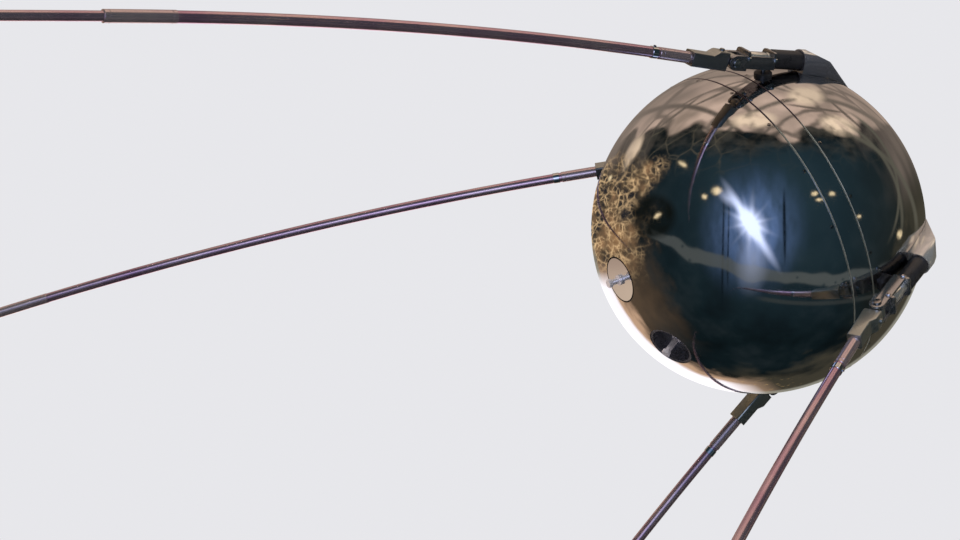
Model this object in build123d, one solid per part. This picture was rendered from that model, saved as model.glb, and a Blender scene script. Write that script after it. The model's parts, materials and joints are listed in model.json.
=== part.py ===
from build123d import *
from math import acos, cos, degrees, radians, sin, sqrt
import os

os.makedirs("parts", exist_ok=True)

# An early round satellite, hung in the air as in a museum: a hollow polished ball
# of two half shells on a belt ring, with a battery block inside, two round ports at
# the rear and four whip antennas on sprung hinges.
# Millimetres. The pieces are drawn in the ball's own axes: +X forward along the ball's
# axis, +Y to its left, +Z up, origin at the ball's centre. At the end everything is
# tilted nose up by nose_up, the attitude in which it hangs.

# Ball
ball_radius = 290.0
shell_wall = 2.0
belt_width = 40.0
belt_ledge = 12.0
belt_depth = 22.0
seam_width = 1.2
seat_gap = 0.3
nose_up = 28.7
join_tolerance = 1e-6

# Battery block and the plate that carries it inside the belt
battery_belt_gap = 43.0
battery_length = 270.0
plate_thickness = 4.0

# Ports in the rear shell: tilt away from the rear pole, and turn about the axis
rear_port_tilt = 6.1
rear_port_turn = -44.4
side_port_tilt = 24.4
side_port_turn = -173.7
port_hole_radius = 41.0
port_groove = 2.8
port_flange = 7.0
port_flange_thickness = 4.0
port_lid_thickness = 3.0
port_lid_sink = 2.7
port_recess_depth = 22.0
port_recess_wall = 4.0
port_recess_floor = 3.0
port_pin_radius = 5.0
port_pin_length = 24.0
side_pin_proud = 18.0
port_head_radius = 7.5
port_head_length = 7.0
port_head_chamfer = 1.0
port_collar_radius = 9.0
port_collar_length = 4.0

# Antenna mounts: a line that passes over the ball at mount_height, mount_angle to the
# ball's axis. Along it come shoe, insulator, spring bracket and root block.
mount_height = 18.5
mount_angle = 25.0
insulator_radius = 16.5
insulator_length = 71.0
insulator_chamfer = 1.5
collar_wall = 2.5
collar_depth = 9.0
shoe_length = 122.0
shoe_brow_length = 46.0
shoe_brow_drop = 13.0
shoe_tip_width = 6.0
shoe_tip_thickness = 1.0
shoe_top_step = 1.0
shoe_depth = 50.0
bracket_width = 34.0
bracket_height = 30.0
bracket_plate = 4.0
bracket_side_height = 22.0
cheek_corner_radius = 6.0
cheek_thickness = 6.0
barrel_length = 50.0
barrel_neck_radius = 9.5
barrel_neck_length = 6.0
fork_reach = 21.0
fork_base = 6.0
ear_thickness = 8.0
ear_radius = 13.0
ear_side_gap = 0.5
pivot_drop = 6.0
pin_radius = 5.0
pin_clearance = 0.08
pin_head_radius = 7.5
pin_head_length = 3.0
pin_head_chamfer = 1.0
feed_angle = 15.5
feed_radius = 4.5
feed_foot_radius = 15.5
feed_foot_height = 6.0
feed_foot_chamfer = 1.5
feed_post_length = 60.0

# Root block of each whip, drawn from its pivot along the whip
block_length = 88.0
block_width = 26.0
block_height = 24.0
block_drop = 6.0
block_start = 14.5
shoulder_length = 20.0
shoulder_slope = 11.0
shoulder_height = 14.0
block_chamfer = 2.0
eye_radius = 12.0
neck_height = 16.0
stop_screw_radius = 4.5
stop_screw_height = 4.0
stop_screw_rounding = 2.0
socket_depth = 18.0

# Whips: opening angle to the ball's axis, three tubes with sleeves between them, and
# the bend that their weight gives them, strongest at the root
whip_angle = 29.5
whip_root_bend_radius = 5000.0
tube_diameters = (18.0, 15.0, 12.0)
sleeve_length = 110.0
sleeve_wall = 0.6
tip_length = 14.0
tip_diameter = 15.0
short_tubes = (1000.0, 750.0, 650.0)
long_tubes = (1150.0, 950.0, 800.0)

# Name, turn about the ball's axis from up towards the left, tube lengths
antennas = (
    ("upper_right", -45.0, short_tubes),
    ("upper_left", 45.0, long_tubes),
    ("lower_left", 135.0, short_tubes),
    ("lower_right", 225.0, long_tubes),
)

attitude = Rot(0, -nose_up, 0)
down = Vector(-sin(radians(nose_up)), 0, -cos(radians(nose_up)))


def write(name, *solids):
    """Tilts the solids into the hanging attitude and writes them as one node."""
    placed = [attitude * solid for solid in solids]
    export_step(placed[0] if len(placed) == 1 else Compound(children=placed),
                "parts/" + name + ".step")


def slab(x0, x1, y0, y1, z0, z1):
    """A box between three pairs of limits."""
    return Pos((x0 + x1) / 2, (y0 + y1) / 2, (z0 + z1) / 2) * Box(x1 - x0, y1 - y0, z1 - z0)


def rod(radius, z0, z1):
    """A cylinder on the Z axis between two heights."""
    return Pos(0, 0, (z0 + z1) / 2) * Cylinder(radius, z1 - z0)


def rod_x(radius, x0, x1):
    """A cylinder on the X axis between two places."""
    return Rot(0, 90, 0) * rod(radius, x0, x1)


# Ball
half_belt = belt_width / 2
belt_inner_radius = ball_radius - belt_depth
mount_reach = ball_radius + mount_height
ledge_radius = ball_radius - shell_wall - seat_gap
inner_radius = ball_radius - shell_wall


def round_arc(radius, x0, x1):
    """The arc of a circle about the origin, above the X axis, from one x to another."""
    a0, a1 = acos(x0 / radius), acos(x1 / radius)
    places = [(radius * cos(a), radius * sin(a)) for a in (a0, (a0 + a1) / 2, a1)]
    return ThreePointArc(*places)


def spun(*lines):
    """Joins the lines to a closed outline and turns it about the ball's axis."""
    ends = [(line @ 0, line @ 1) for line in lines]
    links = [Line(a[1], b[0]) for a, b in zip(ends, ends[1:] + ends[:1])
             if (a[1] - b[0]).length > join_tolerance]
    return revolve(make_face(Curve() + list(lines) + links), Axis.X)


def half_shell(end):
    """One thin half of the ball, from beside the belt to the pole at x = end."""
    start = (half_belt + seam_width) * (1 if end > 0 else -1)
    inner_end = inner_radius * (1 if end > 0 else -1)
    return spun(round_arc(ball_radius, start, end), round_arc(inner_radius, inner_end, start))


def port_frame(tilt, turn):
    """Where a port's own frame lies: origin on the ball's surface, +Z outwards."""
    away, around = radians(tilt), radians(turn)
    out = Vector(-cos(away), sin(away) * sin(around), sin(away) * cos(around))
    side = Vector(0, 1, 0)
    return Plane(origin=out * ball_radius, x_dir=side - out * side.dot(out), z_dir=out).location


rear_port = port_frame(rear_port_tilt, rear_port_turn)
side_port = port_frame(side_port_tilt, side_port_turn)
port_hole = rod(port_hole_radius, -port_hole_radius, port_hole_radius)

write("rear_half_shell",
      half_shell(-ball_radius) - rear_port * port_hole - side_port * port_hole)
write("front_half_shell", half_shell(ball_radius))

ledge_end = half_belt + belt_ledge
write("belt_ring", spun(
    round_arc(ledge_radius, -ledge_end, -half_belt),
    round_arc(ball_radius, -half_belt, half_belt),
    round_arc(ledge_radius, half_belt, ledge_end),
    Line((ledge_end, belt_inner_radius), (-ledge_end, belt_inner_radius)),
))

# Battery block, and the plate round it
battery_radius = belt_inner_radius - battery_belt_gap
octagon = RegularPolygon(battery_radius, 8)
octagon_hole = RegularPolygon(battery_radius + seat_gap, 8)
to_axis = Rot(0, 90, 0)
battery = to_axis * extrude(octagon, battery_length / 2, both=True)
carrier = rod(belt_inner_radius - seat_gap, -plate_thickness / 2, plate_thickness / 2)
carrier = carrier - extrude(octagon_hole, plate_thickness, both=True)
write("battery_block", battery)
write("battery_carrier", to_axis * carrier)

# Ports. Each seat has a flange under the shell and a rim that leaves a groove.
flange_radius = port_hole_radius + port_flange
flange_top = sqrt(inner_radius**2 - flange_radius**2) - ball_radius - seat_gap
flange_bottom = flange_top - port_flange_thickness
rim_radius = port_hole_radius - seat_gap
lid_radius = port_hole_radius - port_groove
lid_top = -port_lid_sink
lid_bottom = lid_top - port_lid_thickness
rim_top = lid_top - port_lid_thickness / 2


def port_seat(bottom):
    """The flange and rim of a port, down to a bottom height."""
    flange = rod(flange_radius, flange_bottom, flange_top)
    return flange + rod(rim_radius, min(bottom, flange_bottom), rim_top)


def port_pin(base, length):
    """A pin with a collar at its foot and a head at its end."""
    head = rod(port_head_radius, base + length - port_head_length, base + length)
    head = chamfer(head.edges().filter_by(GeomType.CIRCLE), port_head_chamfer)
    collar = rod(port_collar_radius, base, base + port_collar_length)
    shaft = rod(port_pin_radius, base, base + length - port_head_length / 2)
    return shaft + collar + head


rear_seat = port_seat(flange_bottom) - rod(lid_radius + seat_gap, lid_bottom - seat_gap, ball_radius)
write("rear_port_seat", rear_port * rear_seat)
write("rear_port_lid", rear_port * rod(lid_radius, lid_bottom, lid_top))
write("rear_port_pin", rear_port * port_pin(lid_top + seat_gap, port_pin_length))

recess_radius = lid_radius - port_recess_wall / 2
recess_bottom = rim_top - port_recess_depth
side_cup = port_seat(recess_bottom - port_recess_floor)
side_cup = side_cup - rod(recess_radius, recess_bottom, ball_radius)
write("side_port_cup", side_port * side_cup)
write("side_port_pin", side_port * port_pin(recess_bottom + seat_gap, port_recess_depth + side_pin_proud))

# Antenna mounts, drawn in a mount frame: +X rearward along the mount line, +Z away from
# the ball, origin at the point of the line nearest the ball's centre.
ball_clear = Pos(0, 0, -mount_reach) * Sphere(ball_radius + seat_gap)
collar_radius = insulator_radius + seat_gap + collar_wall
bracket_start = insulator_length + seat_gap
half_width = bracket_width / 2
half_height = bracket_height / 2
barrel_radius = half_height - bracket_plate - seat_gap
barrel_start = bracket_start + cheek_thickness + seat_gap
rear_cheek = barrel_start + barrel_length + seat_gap
bracket_end = rear_cheek + cheek_thickness
pivot_x = bracket_end + fork_reach
ear_inner = half_width - ear_thickness


def shoe():
    """The arched wedge at the front that grips the insulator's end and runs down to the
    ball: an arch cut by a side outline and a plan outline."""
    tip_angle = shoe_length / ball_radius
    tip_x = -ball_radius * sin(tip_angle)
    tip_z = ball_radius * cos(tip_angle) - mount_reach
    low = tip_z - shoe_depth
    brow_z = collar_radius - shoe_brow_drop
    arch = Curve() + [
        ThreePointArc((-collar_radius, 0), (0, collar_radius), (collar_radius, 0)),
        Line((collar_radius, 0), (collar_radius, low)),
        Line((collar_radius, low), (-collar_radius, low)),
        Line((-collar_radius, low), (-collar_radius, 0)),
    ]
    side = Polyline(
        (collar_depth, low),
        (collar_depth, collar_radius + collar_wall),
        (0, collar_radius + shoe_top_step),
        (-shoe_brow_length, brow_z),
        (tip_x, tip_z + shoe_tip_thickness),
        (tip_x, low),
        close=True,
    )
    plan = Polyline(
        (collar_depth, -2 * collar_radius),
        (-shoe_brow_length, -collar_radius),
        (tip_x, -shoe_tip_width / 2),
        (tip_x, shoe_tip_width / 2),
        (-shoe_brow_length, collar_radius),
        (collar_depth, 2 * collar_radius),
        close=True,
    )
    start = Plane(origin=(-shoe_length, 0, 0), x_dir=(0, 1, 0), z_dir=(1, 0, 0))
    wedge = extrude(start * make_face(arch), shoe_length + collar_depth)
    wedge = wedge & extrude(make_face(Plane.XZ * side), 2 * collar_radius, both=True)
    wedge = wedge & extrude(make_face(plan), mount_reach, both=True)
    bore = rod_x(insulator_radius + seat_gap, -seat_gap, insulator_length)
    return wedge - bore - ball_clear


def insulator():
    """The black cylinder that holds the bracket off the ball."""
    body = rod_x(insulator_radius, 0, insulator_length)
    return chamfer(body.edges().filter_by(GeomType.CIRCLE), insulator_chamfer)


def bracket():
    """A channel with two cheeks that hold the spring barrel, and a fork behind them."""
    floor_top = -half_height + bracket_plate
    body = slab(bracket_start, bracket_end, -half_width, half_width, -half_height, floor_top)
    for x0 in (bracket_start, rear_cheek):
        cheek = slab(x0, x0 + cheek_thickness, -half_width, half_width,
                     -half_height, half_height)
        corners = cheek.edges().filter_by(Axis.X).group_by(Axis.Z)[-1]
        body = body + fillet(corners, cheek_corner_radius)
    for side in (-1, 1):
        outer, inner = side * half_width, side * (half_width - bracket_plate)
        low, high = min(outer, inner), max(outer, inner)
        body = body + slab(bracket_start, bracket_end, low, high, -half_height,
                           -half_height + bracket_side_height)
    ears = slab(bracket_end - cheek_thickness / 2, pivot_x, -half_width, half_width,
                -pivot_drop - ear_radius, -pivot_drop + ear_radius)
    ears = ears + Pos(pivot_x, 0, -pivot_drop) * Rot(90, 0, 0) * Cylinder(ear_radius, bracket_width)
    slot = slab(bracket_end + fork_base, pivot_x + 2 * ear_radius, -ear_inner, ear_inner,
                -bracket_height, bracket_height)
    bore = Pos(pivot_x, 0, -pivot_drop) * Rot(90, 0, 0) * Cylinder(
        pin_radius + pin_clearance, 2 * bracket_width)
    return body + (ears - slot) - bore


def barrel():
    """The bright spring barrel between the cheeks, waisted at both ends."""
    neck_start = barrel_start + barrel_neck_length
    neck_end = barrel_start + barrel_length - barrel_neck_length
    flange = barrel_neck_length / 2
    body = rod_x(barrel_neck_radius, barrel_start, barrel_start + barrel_length)
    body = body + rod_x(barrel_radius, neck_start, neck_end)
    body = body + rod_x(barrel_radius, barrel_start, barrel_start + flange)
    return body + rod_x(barrel_radius, barrel_start + barrel_length - flange,
                        barrel_start + barrel_length)


def feed_frame():
    """The feed post stands on the ball's surface, square to it."""
    tilt = radians(feed_angle)
    out = Vector(sin(tilt), 0, cos(tilt))
    foot = out * ball_radius + Vector(0, 0, -mount_reach)
    return Plane(origin=foot, x_dir=(cos(tilt), 0, -sin(tilt)), z_dir=out).location


def feed_post():
    """The bright post that carries the signal from the ball into the bracket."""
    above = slab(0, 2 * pivot_x, -bracket_width, bracket_width,
                 -half_height - seat_gap, mount_reach)
    return feed_frame() * rod(feed_radius, seat_gap, feed_post_length) - above


def feed_foot():
    """The black ring round the post's foot."""
    ring = rod(feed_foot_radius, -feed_foot_height, feed_foot_height)
    ring = chamfer(ring.edges().group_by(Axis.Z)[-1], feed_foot_chamfer)
    ring = ring - rod(feed_radius + seat_gap, -feed_post_length, feed_post_length)
    return feed_frame() * ring - ball_clear


def hinge_pin():
    """The pin through the fork, with a chamfered head at each end."""
    reach = half_width + seat_gap
    body = rod(pin_radius, -reach - pin_head_length / 2, reach + pin_head_length / 2)
    head = rod(pin_head_radius, reach, reach + pin_head_length)
    head = chamfer(head.edges().group_by(Axis.Z)[-1], pin_head_chamfer)
    body = body + head + Rot(180, 0, 0) * head
    return Pos(pivot_x, 0, -pivot_drop) * Rot(90, 0, 0) * body


# The root block and whip are drawn in a whip frame: origin at the hinge pin, +X along
# the whip, +Z away from the ball.
whip_tilt = whip_angle - mount_angle
to_whip = Pos(pivot_x, 0, -pivot_drop) * Rot(0, -whip_tilt, 0)
root_radius = tube_diameters[0] / 2


def root_block():
    """The cranked bar that swings on the pin and holds the whip's root."""
    low = -block_drop - block_height / 2
    high = -block_drop + block_height / 2
    step = block_start + shoulder_length
    side = Polyline(
        (block_start, low),
        (block_start, shoulder_height),
        (step, shoulder_height),
        (step + shoulder_slope, high),
        (block_length, high),
        (block_length, low),
        close=True,
    )
    bar = extrude(make_face(Plane.XZ * side), block_width / 2, both=True)
    bar = chamfer(bar.edges().filter_by(Axis.X), block_chamfer)
    eye_width = 2 * (ear_inner - ear_side_gap)
    eye = Rot(90, 0, 0) * Cylinder(eye_radius, eye_width)
    neck = slab(0, block_start + shoulder_length / 2, -eye_width / 2, eye_width / 2,
                -neck_height / 2, neck_height / 2)
    bore = Rot(90, 0, 0) * Cylinder(pin_radius + pin_clearance, bracket_width)
    screw = Pos(block_start + shoulder_length / 2, 0, shoulder_height + stop_screw_height / 2)
    screw = screw * Cylinder(stop_screw_radius, stop_screw_height)
    screw = fillet(screw.edges().group_by(Axis.Z)[-1], stop_screw_rounding)
    socket = Pos(0, 0, -block_drop) * rod_x(
        root_radius + seat_gap, block_length - socket_depth, 2 * block_length)
    return (bar + eye + neck + screw) - bore - socket


def cross_plane(place, angle):
    """The plane square to a whip at a place where it has bent by an angle."""
    ahead = Vector(cos(angle), sin(angle), 0)
    return Plane(origin=place, x_dir=(-sin(angle), cos(angle), 0), z_dir=ahead)


def flat_ring(plane, radius, other_radius):
    """The flat face where a whip's radius changes, a disc if one radius is 0."""
    ring = plane * Circle(max(radius, other_radius))
    if min(radius, other_radius) > 0:
        ring = ring - plane * Circle(min(radius, other_radius))
    return ring.face()


def round_faces(solid):
    """The faces of a solid that aren't flat."""
    return [face for face in solid.faces() if face.geom_type != GeomType.PLANE]


def whip(tubes):
    """Three tubes, a sleeve over each joint and a tip, sewn from their faces. Drawn in
    the plane they bend in: +X along the root, the bend towards +Y."""
    total, half_sleeve = sum(tubes), sleeve_length / 2
    radii = [diameter / 2 for diameter in tube_diameters]
    place, angle, reached, radius_before, faces = Vector(0, 0, 0), 0, 0, 0, []

    def bent(distance):
        left = 1 - distance / total
        return total / (3 * whip_root_bend_radius) * (1 - left**3)

    for number, (length, radius) in enumerate(zip(tubes, radii)):
        bend = length / (bent(reached + length) - bent(reached))
        centre = place + Vector(-sin(angle), cos(angle), 0) * bend
        before = half_sleeve if number > 0 else 0
        after = half_sleeve if number < len(tubes) - 1 else 0
        stretches = (
            (before, radii[number - 1] + sleeve_wall),
            (length - before - after, radius),
            (after, radius + sleeve_wall),
        )
        for run, run_radius in stretches:
            if run == 0:
                continue
            plane = cross_plane(place, angle)
            if run_radius != radius_before:
                faces.append(flat_ring(plane, run_radius, radius_before))
            tube = revolve(plane * Circle(run_radius), Axis(centre, (0, 0, 1)),
                           degrees(run / bend))
            faces += round_faces(tube)
            angle += run / bend
            place = centre + Vector(sin(angle), -cos(angle), 0) * bend
            radius_before = run_radius
        reached += length
    plane = cross_plane(place, angle)
    tip = extrude(plane * Circle(tip_diameter / 2), tip_length)
    tip_end = cross_plane(place + plane.z_dir * tip_length, angle)
    faces.append(flat_ring(plane, tip_diameter / 2, radius_before))
    faces += round_faces(tip)
    faces.append(flat_ring(tip_end, tip_diameter / 2, 0))
    return Solid(Shell(faces))


feed_feet = []
for name, turn, tubes in antennas:
    around, lean = radians(turn), radians(mount_angle)
    outward = Vector(0, sin(around), cos(around))
    rearward = Vector(-1, 0, 0)
    along = rearward * cos(lean) + outward * sin(lean)
    normal = outward * cos(lean) - rearward * sin(lean)
    mount = Plane(origin=normal * mount_reach, x_dir=along, z_dir=normal).location
    write("shoe_" + name, mount * shoe())
    write("insulator_" + name, mount * insulator())
    write("bracket_" + name, mount * bracket())
    write("spring_barrel_" + name, mount * barrel())
    write("feed_post_" + name, mount * feed_post())
    write("hinge_pin_" + name, mount * hinge_pin())
    feed_feet.append(mount * feed_foot())

    write("root_block_" + name, mount * to_whip * root_block())
    opening = radians(whip_angle)
    ahead = rearward * cos(opening) + outward * sin(opening)
    root = mount * to_whip * Pos(block_length - socket_depth + seat_gap, 0, -block_drop)
    sideways = ahead.cross(down)
    write("whip_" + name,
          Plane(origin=root.position, x_dir=ahead, z_dir=sideways).location * whip(tubes))
write("feed_insulators", *feed_feet)
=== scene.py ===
import json
from math import acos, cos, pi, radians, sin, sqrt

import bmesh
import bpy
from mathutils import Matrix, Vector


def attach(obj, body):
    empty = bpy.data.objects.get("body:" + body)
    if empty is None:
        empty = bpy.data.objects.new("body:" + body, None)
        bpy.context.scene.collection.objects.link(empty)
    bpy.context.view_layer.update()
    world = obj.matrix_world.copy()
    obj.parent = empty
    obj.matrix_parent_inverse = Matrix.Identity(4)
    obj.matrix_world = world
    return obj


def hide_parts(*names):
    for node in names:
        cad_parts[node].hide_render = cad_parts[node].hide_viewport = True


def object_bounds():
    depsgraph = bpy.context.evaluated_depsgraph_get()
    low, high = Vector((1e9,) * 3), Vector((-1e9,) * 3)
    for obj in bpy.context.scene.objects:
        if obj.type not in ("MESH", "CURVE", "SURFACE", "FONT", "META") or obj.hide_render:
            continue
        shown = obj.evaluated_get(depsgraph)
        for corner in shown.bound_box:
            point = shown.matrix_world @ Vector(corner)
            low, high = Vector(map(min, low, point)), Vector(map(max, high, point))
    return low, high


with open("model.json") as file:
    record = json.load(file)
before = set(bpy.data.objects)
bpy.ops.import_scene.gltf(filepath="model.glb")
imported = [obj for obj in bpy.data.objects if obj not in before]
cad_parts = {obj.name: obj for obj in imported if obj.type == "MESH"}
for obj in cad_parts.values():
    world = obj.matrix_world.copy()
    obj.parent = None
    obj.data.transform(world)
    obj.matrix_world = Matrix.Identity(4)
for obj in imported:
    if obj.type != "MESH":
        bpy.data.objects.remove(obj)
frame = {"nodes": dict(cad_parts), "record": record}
cad_low, cad_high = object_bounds()
nodes = frame["nodes"]
MM = 0.001

# Sizes of the CAD model that the pieces here repeat, in millimetres and degrees
BALL, WALL, BELT, LEDGE, BELT_INNER, SEAM, GAP = 290.0, 2.0, 40.0, 12.0, 268.0, 1.2, 0.3
NOSE_UP = 28.7
PORTS = {"rear": (6.1, -44.4), "side": (24.4, -173.7)}
PORT_HOLE = 41.0
MOUNT_REACH, MOUNT_ANGLE, WHIP_ANGLE = 308.5, 25.0, 29.5
PIVOT_X, PIVOT_DROP = 154.9, 6.0
CHEEKS = (74.3, 130.9)
BRACKET_HALF, BRACKET_LOW = 17.0, -15.0
SEAM_EASE = 1.0
BLOCK_END, BLOCK_DROP, SOCKET = 88.0, 6.0, 18.0
ROOT_BEND = 5000.0
RADII, SLEEVE, SLEEVE_WALL = (9.0, 7.5, 6.0), 110.0, 0.6
TIP_LENGTH, TIP_RADIUS = 14.0, 7.5
SHORT, LONG = (1000.0, 750.0, 650.0), (1150.0, 950.0, 800.0)
ANTENNAS = (
    ("upper_right", -45.0, SHORT),
    ("upper_left", 45.0, LONG),
    ("lower_left", 135.0, SHORT),
    ("lower_right", 225.0, LONG),
)


# Frames

def frame_of(x_axis, z_axis, origin):
    """A matrix with these two axes and that origin, which is in millimetres."""
    x, z = x_axis.normalized(), z_axis.normalized()
    made = Matrix((x, z.cross(x), z)).transposed().to_4x4()
    made.translation = origin
    return made


ATTITUDE = Matrix.Rotation(-radians(NOSE_UP), 4, "Y")
REARWARD = Vector((-1, 0, 0))


def port_frame(tilt, turn):
    """On the ball at a port, +Z outwards."""
    away, around = radians(tilt), radians(turn)
    out = Vector((-cos(away), sin(away) * sin(around), sin(away) * cos(around)))
    side = Vector((0, 1, 0))
    return ATTITUDE @ frame_of(side - out * side.dot(out), out, out * BALL)


def mount_frame(turn):
    """A mount's own axes: +X along it towards the whip, +Z away from the ball."""
    around, lean = radians(turn), radians(MOUNT_ANGLE)
    outward = Vector((0, sin(around), cos(around)))
    along = REARWARD * cos(lean) + outward * sin(lean)
    normal = outward * cos(lean) - REARWARD * sin(lean)
    return ATTITUDE @ frame_of(along, normal, normal * MOUNT_REACH)


def whip_frame(turn):
    """A whip arm's own axes at rest, at the hinge."""
    lean = Matrix.Rotation(-radians(WHIP_ANGLE - MOUNT_ANGLE), 4, "Y")
    return mount_frame(turn) @ Matrix.Translation((PIVOT_X, 0, -PIVOT_DROP)) @ lean


def ball_frame(x_mm, azimuth):
    """On the ball's surface, +Z outwards: x along the ball's axis, azimuth from up."""
    around = radians(azimuth)
    r = sqrt(BALL**2 - x_mm**2)
    out = Vector((x_mm, r * sin(around), r * cos(around)))
    ahead = Vector((1, 0, 0))
    return ATTITUDE @ frame_of(ahead - out * ahead.dot(out) / out.length_squared, out, out)


# Materials

def new_material(name, base, metallic, roughness):
    made = bpy.data.materials.new(name)
    made.use_nodes = True
    shader = made.node_tree.nodes["Principled BSDF"]
    shader.inputs["Base Color"].default_value = (*base, 1)
    shader.inputs["Metallic"].default_value = metallic
    shader.inputs["Roughness"].default_value = roughness
    return made, made.node_tree, shader


def node(tree, kind, **values):
    made = tree.nodes.new(kind)
    for key, value in values.items():
        if key in made.inputs:
            made.inputs[key].default_value = value
        else:
            setattr(made, key, value)
    return made


def noise(tree, coords, scale, detail=4.0, stretch=(1, 1, 1), rough=0.55):
    mapping = node(tree, "ShaderNodeMapping")
    mapping.inputs["Scale"].default_value = stretch
    tree.links.new(coords, mapping.inputs["Vector"])
    made = node(tree, "ShaderNodeTexNoise", Scale=scale, Detail=detail, Roughness=rough)
    tree.links.new(mapping.outputs["Vector"], made.inputs["Vector"])
    return made.outputs["Fac"]


def spread(tree, value, low, high, out_low, out_high):
    made = node(tree, "ShaderNodeMapRange", clamp=True)
    ends = {"From Min": low, "From Max": high, "To Min": out_low, "To Max": out_high}
    for key, number in ends.items():
        made.inputs[key].default_value = number
    tree.links.new(value, made.inputs["Value"])
    return made.outputs["Result"]


def math(tree, operation, a, b=0.5, c=0.0):
    made = node(tree, "ShaderNodeMath", operation=operation)
    for socket, value in zip(made.inputs, (a, b, c)):
        if isinstance(value, (int, float)):
            socket.default_value = value
        else:
            tree.links.new(value, socket)
    return made.outputs[0]


def tint(tree, value, colours):
    """A colour ramp: colours is a list of (place, rgb)."""
    made = node(tree, "ShaderNodeValToRGB")
    ramp = made.color_ramp
    while len(ramp.elements) < len(colours):
        ramp.elements.new(0.5)
    for element, (place, rgb) in zip(ramp.elements, colours):
        element.position, element.color = place, (*rgb, 1)
    tree.links.new(value, made.inputs["Fac"])
    return made.outputs["Color"]


def bump(tree, shader, height, strength, distance, before=None):
    made = node(tree, "ShaderNodeBump", Strength=strength, Distance=distance)
    tree.links.new(height, made.inputs["Height"])
    if before:
        tree.links.new(before, made.inputs["Normal"])
    tree.links.new(made.outputs["Normal"], shader.inputs["Normal"])
    return made.outputs["Normal"]


def metal(name, light, dark, rough, wave=0.0, streak=None, uv=False, grain=900.0, metallic=1.0,
          painted_shade=None, sides=False):
    """Polished metal: two tones in soft patches, wiped roughness, slight waves in the
    sheet and hairline streaks. High on the ball it can have a painted shade, a darker
    tone everywhere or only on sides, the faces that look level or down."""
    made, tree, shader = new_material(name, light, metallic, rough[0])
    place = node(tree, "ShaderNodeTexCoord").outputs["UV" if uv else "Object"]
    patches = noise(tree, place, 7.0, 3.0)
    tones = [(0.35, dark), (0.65, light)]
    if painted_shade:
        # Painted shade: a darker tone high on the ball, on sides only if asked
        parts = node(tree, "ShaderNodeSeparateXYZ")
        tree.links.new(place, parts.inputs[0])
        shaded = spread(tree, parts.outputs["Z"], 0.07, 0.13, 0, 0.6)
        if sides:
            facing = node(tree, "ShaderNodeSeparateXYZ")
            tree.links.new(node(tree, "ShaderNodeTexCoord").outputs["Normal"], facing.inputs[0])
            shaded = math(tree, "MULTIPLY", shaded, spread(tree, facing.outputs["Z"], 0.15, 0.40, 1, 0))
        # This takes the patches down to the ramp's lowest tone
        patches = math(tree, "SUBTRACT", patches, shaded)
        tones.insert(0, (0.15, painted_shade))
    tree.links.new(tint(tree, patches, tones), shader.inputs["Base Color"])
    wiped = noise(tree, place, 38.0, 5.0, (1, 2.5, 1), 0.65)
    fine = noise(tree, place, grain, 2.0, streak or (1, 1, 1), 0.5)
    wear = math(tree, "MULTIPLY_ADD", fine, 0.35, math(tree, "MULTIPLY", wiped, 0.65))
    tree.links.new(spread(tree, wear, 0.35, 0.68, rough[0], rough[1]), shader.inputs["Roughness"])
    before = None
    if wave:
        before = bump(tree, shader, noise(tree, place, 9.0, 1.0), wave, 0.004)
    bump(tree, shader, fine, 0.014 if streak else 0.008, 0.0004, before)
    return made


def plastic(name, light, dark, rough):
    """Moulded plastic: a fine mottle in its tone and gloss."""
    made, tree, shader = new_material(name, light, 0.0, rough[0])
    place = node(tree, "ShaderNodeTexCoord").outputs["Object"]
    mottle = noise(tree, place, 60.0, 6.0, rough=0.65)
    tree.links.new(tint(tree, mottle, [(0.3, dark), (0.7, light)]), shader.inputs["Base Color"])
    tree.links.new(spread(tree, mottle, 0.3, 0.7, rough[0], rough[1]), shader.inputs["Roughness"])
    bump(tree, shader, noise(tree, place, 1400.0, 2.0), 0.08, 0.0003)
    return made


SHELL = metal("shell_mirror", (0.80, 0.79, 0.79), (0.72, 0.71, 0.72), (0.035, 0.10), wave=0.035)
BELT_METAL = metal("belt_mirror", (0.80, 0.79, 0.79), (0.70, 0.70, 0.71), (0.04, 0.11), wave=0.02)
# Painted reflection: the pink and purple tones of whips and sleeves stand for pink and purple
# lights mirrored in them
WHIP = metal("whip_polish", (0.87, 0.65, 0.68), (0.63, 0.37, 0.52), (0.11, 0.24),
             streak=(0.03, 1, 1), uv=True, metallic=0.92)
SLEEVE_METAL = metal("sleeve_polish", (0.84, 0.69, 0.68), (0.68, 0.52, 0.57), (0.14, 0.26),
                     streak=(1, 0.03, 1), uv=True, metallic=0.88)
# Painted shade: block, bracket and shoe go dark on their sides high on the ball
BLOCK = metal("root_block_milled", (0.68, 0.69, 0.64), (0.53, 0.55, 0.51), (0.26, 0.42),
              streak=(1, 0.06, 1), metallic=0.96, painted_shade=(0.34, 0.34, 0.35), sides=True)
BRACKET = metal("bracket_milled", (0.62, 0.61, 0.61), (0.46, 0.45, 0.46), (0.16, 0.30),
                streak=(1, 0.1, 1), metallic=0.95, painted_shade=(0.30, 0.29, 0.31), sides=True)
SHOE = metal("shoe_polished", (0.87, 0.85, 0.82), (0.80, 0.79, 0.77), (0.15, 0.24), metallic=0.78,
             painted_shade=(0.30, 0.30, 0.34), sides=True)
CHROME = metal("bolt_chrome", (0.88, 0.88, 0.90), (0.80, 0.80, 0.83), (0.03, 0.09))
BARREL = metal("barrel_ground", (0.92, 0.89, 0.82), (0.80, 0.77, 0.71), (0.10, 0.22),
               streak=(1, 0.05, 1), metallic=0.84)
STEEL = metal("steel_turned", (0.62, 0.60, 0.59), (0.48, 0.46, 0.46), (0.16, 0.3))
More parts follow.
